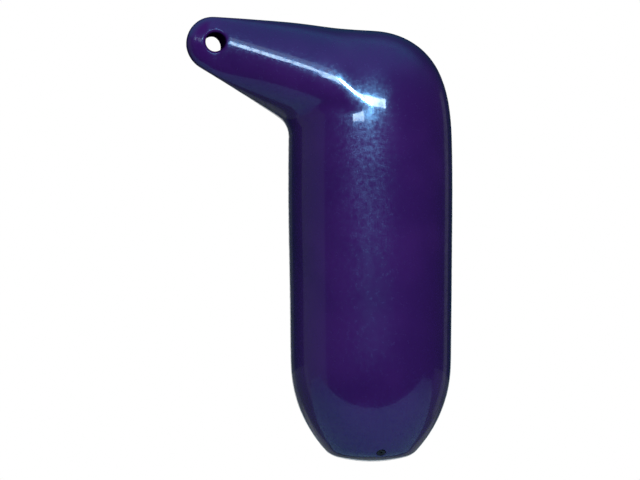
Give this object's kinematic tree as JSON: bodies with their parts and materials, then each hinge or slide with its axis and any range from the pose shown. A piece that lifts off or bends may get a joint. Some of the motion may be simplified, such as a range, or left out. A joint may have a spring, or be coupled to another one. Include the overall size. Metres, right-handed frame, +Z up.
{
  "type": "boat fender",
  "caption": "Inflatable vinyl boat fender with a barrel that bends at the top into a tapered neck with a rope eye, for boats with a low side.",
  "frame": {"origin": "centre of the rope eye, where the fender's line holds it", "axes": "+Z up along the barrel, +X from the eye towards the barrel, the pictured side faces -Y and the eye's bore runs along Y"},
  "size_m": [0.2593, 0.159, 0.4228],
  "materials": {
    "vinyl": "glossy",
    "valve_rubber": "matt"
  },
  "bodies": {
    "root": {"fender_body": "vinyl", "needle_valve": "valve_rubber"}
  },
  "joints": []
}
